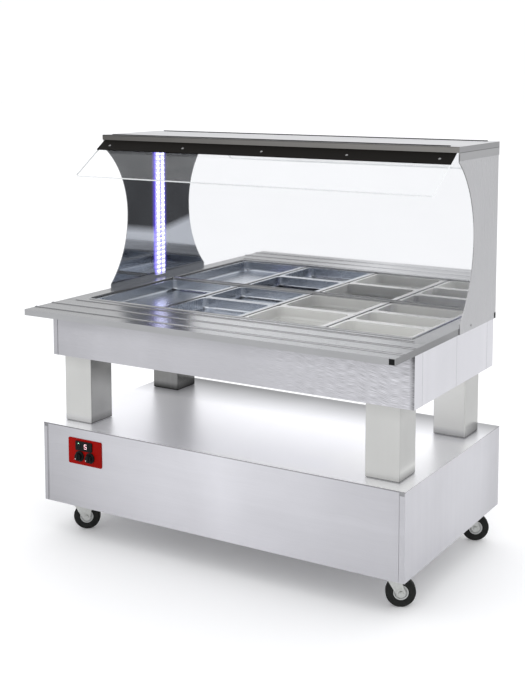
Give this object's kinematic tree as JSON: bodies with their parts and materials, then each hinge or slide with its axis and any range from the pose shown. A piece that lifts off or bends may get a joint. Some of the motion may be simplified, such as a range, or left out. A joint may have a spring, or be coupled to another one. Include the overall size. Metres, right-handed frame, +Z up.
{
  "type": "mobile salad bar",
  "caption": "Mobile refrigerated salad bar: boxed plinth on castors, square legs, tank with ribbed worktop and lift-out pans, mirror back, shelf, lights and slanting clear guard",
  "frame": {"origin": "on the floor under the middle of the unit's bounding box", "axes": "+X along the unit's length to the customer's right, +Y from the customer's side to the mirror panel, +Z up"},
  "size_m": [1.5, 0.92, 1.49],
  "materials": {
    "stainless": "fine horizontal brushing, cool grey",
    "worktop_steel": "bright, half-polished",
    "leg_steel": "polished, faintly warm",
    "deck_steel": "bright, almost mirror",
    "pan_steel": "satin",
    "panel_steel": "brushed outside, dark and polished inside",
    "shelf_steel": "brushed, darker on the folded lips",
    "mirror_steel": "mirror-polished sheet",
    "zinc": "zinc plated, satin",
    "screw_steel": "bright",
    "copper": "drawn copper tube",
    "fins": "mill finish",
    "black_paint": "black, semi-gloss",
    "red_paint": "red, satin",
    "black_plastic": "fine grain",
    "white_plastic": "diffuser over a row of lights",
    "grey_plastic": "plastic-coated steel rim",
    "foam": "rigid foam",
    "porcelain": "white glaze",
    "guard_glass": "clear",
    "strip_rubber": "matt",
    "tyre_rubber": "smooth tread",
    "pedal_plastic": "ribbed"
  },
  "bodies": {
    "cabinet": {"plinth_deck": "deck_steel", "plinth_front_panel": "stainless", "plinth_side_left": "stainless", "plinth_side_right": "stainless", "plinth_service_panel": "stainless", "plinth_floor": "stainless", "front_legs": "leg_steel", "rear_legs": "leg_steel", "tank_front_panel": "stainless", "tank_rear_panel": "stainless", "tank_side_panels": "stainless", "tank_underside": "stainless", "tank_insulation": "foam", "well_liner": "pan_steel", "cooling_circuit": "copper", "drain_pipe": "pan_steel", "worktop": "worktop_steel", "pan_cross_bars": "worktop_steel", "side_panel_left": "panel_steel", "side_panel_right": "panel_steel", "mirror_panel": "mirror_steel", "light_strips": "white_plastic", "top_shelf": "shelf_steel", "shelf_edge_strips": "strip_rubber", "guard_bracket": "black_paint", "glass_guard": "guard_glass", "guard_screws": "screw_steel", "control_plate": "red_paint", "control_modules": "black_plastic", "compressor": "black_paint", "condenser": "fins", "light_driver": "grey_plastic", "cable_gland": "black_plastic", "castor_plates": "zinc", "castor_bolts": "zinc"},
    "swivel_fl": {"castor_fork_fl": "zinc"},
    "wheel_fl": {"wheel_hub_fl": "grey_plastic", "tyre_fl": "tyre_rubber"},
    "swivel_fr": {"castor_fork_fr": "zinc"},
    "wheel_fr": {"wheel_hub_fr": "grey_plastic", "tyre_fr": "tyre_rubber"},
    "swivel_rl": {"castor_fork_rl": "zinc"},
    "wheel_rl": {"wheel_hub_rl": "grey_plastic", "tyre_rl": "tyre_rubber"},
    "swivel_rr": {"castor_fork_rr": "zinc"},
    "wheel_rr": {"wheel_hub_rr": "grey_plastic", "tyre_rr": "tyre_rubber"},
    "pedal_fl": {"brake_pedal_fl": "pedal_plastic"},
    "pedal_rl": {"brake_pedal_rl": "pedal_plastic"},
    "dial_left": {"knob_left": "black_plastic"},
    "dial_right": {"knob_right": "black_plastic"},
    "fan": {"fan_rotor": "black_plastic"},
    "lift_pan_full": {"pan_full": "pan_steel"},
    "lift_pan_half_1": {"pan_half_1": "pan_steel"},
    "lift_pan_half_2": {"pan_half_2": "pan_steel"},
    "lift_pan_half_3": {"pan_half_3": "porcelain"},
    "lift_pan_half_4": {"pan_half_4": "porcelain"},
    "lift_pan_third_1": {"pan_third_1": "porcelain"},
    "lift_pan_third_2": {"pan_third_2": "porcelain"},
    "lift_pan_third_3": {"pan_third_3": "porcelain"}
  },
  "joints": [
    {"name": "castor_swivel_fl", "type": "hinge", "parent": "cabinet", "child": "swivel_fl", "pos_m": [-0.656, -0.282, 0.117], "axis": [0, 0, 1], "continuous": true},
    {"name": "wheel_spin_fl", "type": "hinge", "parent": "swivel_fl", "child": "wheel_fl", "pos_m": [-0.62829, -0.266, 0.05], "axis": [0.5, -0.866, 0], "continuous": true},
    {"name": "castor_swivel_fr", "type": "hinge", "parent": "cabinet", "child": "swivel_fr", "pos_m": [0.656, -0.282, 0.117], "axis": [0, 0, 1], "continuous": true},
    {"name": "wheel_spin_fr", "type": "hinge", "parent": "swivel_fr", "child": "wheel_fr", "pos_m": [0.68371, -0.266, 0.05], "axis": [0.5, -0.866, 0], "continuous": true},
    {"name": "castor_swivel_rl", "type": "hinge", "parent": "cabinet", "child": "swivel_rl", "pos_m": [-0.656, 0.372, 0.117], "axis": [0, 0, 1], "continuous": true},
    {"name": "wheel_spin_rl", "type": "hinge", "parent": "swivel_rl", "child": "wheel_rl", "pos_m": [-0.62829, 0.388, 0.05], "axis": [0.5, -0.866, 0], "continuous": true},
    {"name": "castor_swivel_rr", "type": "hinge", "parent": "cabinet", "child": "swivel_rr", "pos_m": [0.656, 0.372, 0.117], "axis": [0, 0, 1], "continuous": true},
    {"name": "wheel_spin_rr", "type": "hinge", "parent": "swivel_rr", "child": "wheel_rr", "pos_m": [0.68371, 0.388, 0.05], "axis": [0.5, -0.866, 0], "continuous": true},
    {"name": "brake_press_fl", "type": "hinge", "parent": "swivel_fl", "child": "pedal_fl", "pos_m": [-0.61183, -0.2565, 0.107], "axis": [-0.5, 0.866, 0], "range_deg": [0, 12]},
    {"name": "brake_press_rl", "type": "hinge", "parent": "swivel_rl", "child": "pedal_rl", "pos_m": [-0.61183, 0.3975, 0.107], "axis": [-0.5, 0.866, 0], "range_deg": [0, 12]},
    {"name": "knob_turn_left", "type": "hinge", "parent": "cabinet", "child": "dial_left", "pos_m": [-0.57, -0.37, 0.321], "axis": [0, 1, 0], "range_deg": [0, 90]},
    {"name": "knob_turn_right", "type": "hinge", "parent": "cabinet", "child": "dial_right", "pos_m": [-0.521, -0.37, 0.321], "axis": [0, 1, 0], "range_deg": [0, 90]},
    {"name": "fan_spin", "type": "hinge", "parent": "cabinet", "child": "fan", "pos_m": [0.33, 0.348, 0.241], "axis": [0, 1, 0], "continuous": true},
    {"name": "lift_out_pan_full", "type": "slide", "parent": "cabinet", "child": "lift_pan_full", "axis": [0, 0, 1], "range_m": [0, 0.15]},
    {"name": "lift_out_pan_half_1", "type": "slide", "parent": "cabinet", "child": "lift_pan_half_1", "axis": [0, 0, 1], "range_m": [0, 0.15]},
    {"name": "lift_out_pan_half_2", "type": "slide", "parent": "cabinet", "child": "lift_pan_half_2", "axis": [0, 0, 1], "range_m": [0, 0.15]},
    {"name": "lift_out_pan_half_3", "type": "slide", "parent": "cabinet", "child": "lift_pan_half_3", "axis": [0, 0, 1], "range_m": [0, 0.15]},
    {"name": "lift_out_pan_half_4", "type": "slide", "parent": "cabinet", "child": "lift_pan_half_4", "axis": [0, 0, 1], "range_m": [0, 0.15]},
    {"name": "lift_out_pan_third_1", "type": "slide", "parent": "cabinet", "child": "lift_pan_third_1", "axis": [0, 0, 1], "range_m": [0, 0.15]},
    {"name": "lift_out_pan_third_2", "type": "slide", "parent": "cabinet", "child": "lift_pan_third_2", "axis": [0, 0, 1], "range_m": [0, 0.15]},
    {"name": "lift_out_pan_third_3", "type": "slide", "parent": "cabinet", "child": "lift_pan_third_3", "axis": [0, 0, 1], "range_m": [0, 0.15]}
  ]
}
